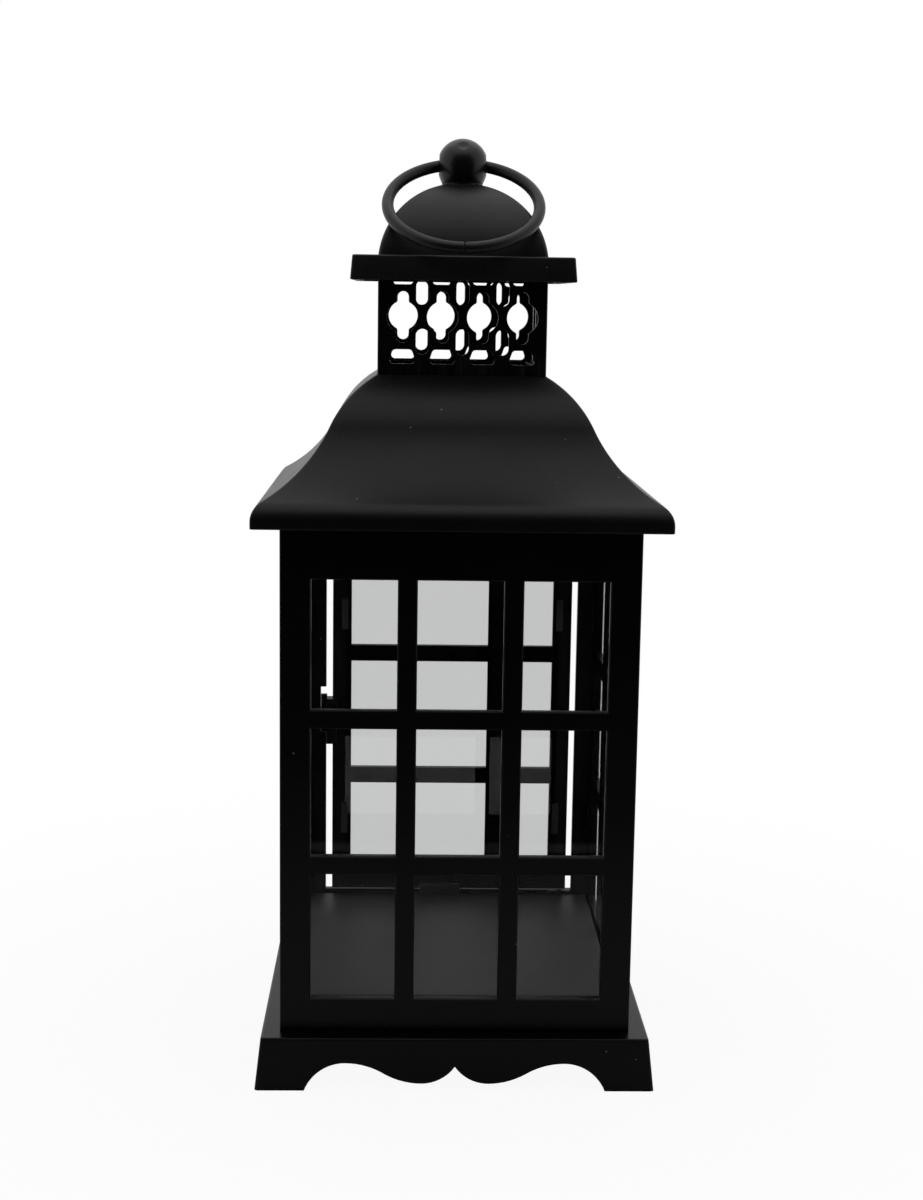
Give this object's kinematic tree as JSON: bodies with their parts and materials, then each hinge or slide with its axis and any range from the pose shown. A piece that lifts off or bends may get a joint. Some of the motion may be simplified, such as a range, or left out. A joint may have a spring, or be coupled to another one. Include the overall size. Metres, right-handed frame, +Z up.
{
  "type": "lantern",
  "caption": "Square black plastic candle lantern with windowed walls, a hinged rear door, a bell-cast roof, a pierced chimney, a domed cap and a hanging ring.",
  "frame": {"origin": "middle of the footprint, on the surface that the lantern stands on", "axes": "+Z up; the front window faces -Y and the door is in the rear wall, towards +Y"},
  "size_m": [0.1334, 0.1334, 0.311],
  "materials": {
    "black_shell": "matte, finely textured",
    "black_ring": "satin",
    "clear_sheet": "clear, glossy",
    "plated_steel": "zinc plated"
  },
  "bodies": {
    "lantern": {"base": "black_shell", "floor_tray": "black_shell", "front_wall": "black_shell", "left_wall": "black_shell", "right_wall": "black_shell", "back_frame": "black_shell", "front_pane": "clear_sheet", "left_pane": "clear_sheet", "right_pane": "clear_sheet", "front_pane_clips": "black_shell", "left_pane_clips": "black_shell", "right_pane_clips": "black_shell", "roof": "black_shell", "chimney_front": "black_shell", "chimney_back": "black_shell", "chimney_left": "black_shell", "chimney_right": "black_shell", "cap": "black_shell", "knob": "black_shell", "knob_screw": "plated_steel", "base_screws": "plated_steel"},
    "door": {"door_frame": "black_shell", "door_pane": "clear_sheet", "door_pane_clips": "black_shell", "door_catch": "black_shell", "upper_hinge_pin": "plated_steel", "lower_hinge_pin": "plated_steel"},
    "handle": {"ring_handle": "black_ring"}
  },
  "joints": [
    {"name": "door_swing", "type": "hinge", "parent": "lantern", "child": "door", "pos_m": [0.04345, 0.0564, 0.1], "axis": [0, 0, -1], "range_deg": [0, 120]},
    {"name": "ring_swing", "type": "hinge", "parent": "lantern", "child": "handle", "pos_m": [0, 0, 0.3025], "axis": [-1, 0, 0], "range_deg": [0, 250]}
  ]
}
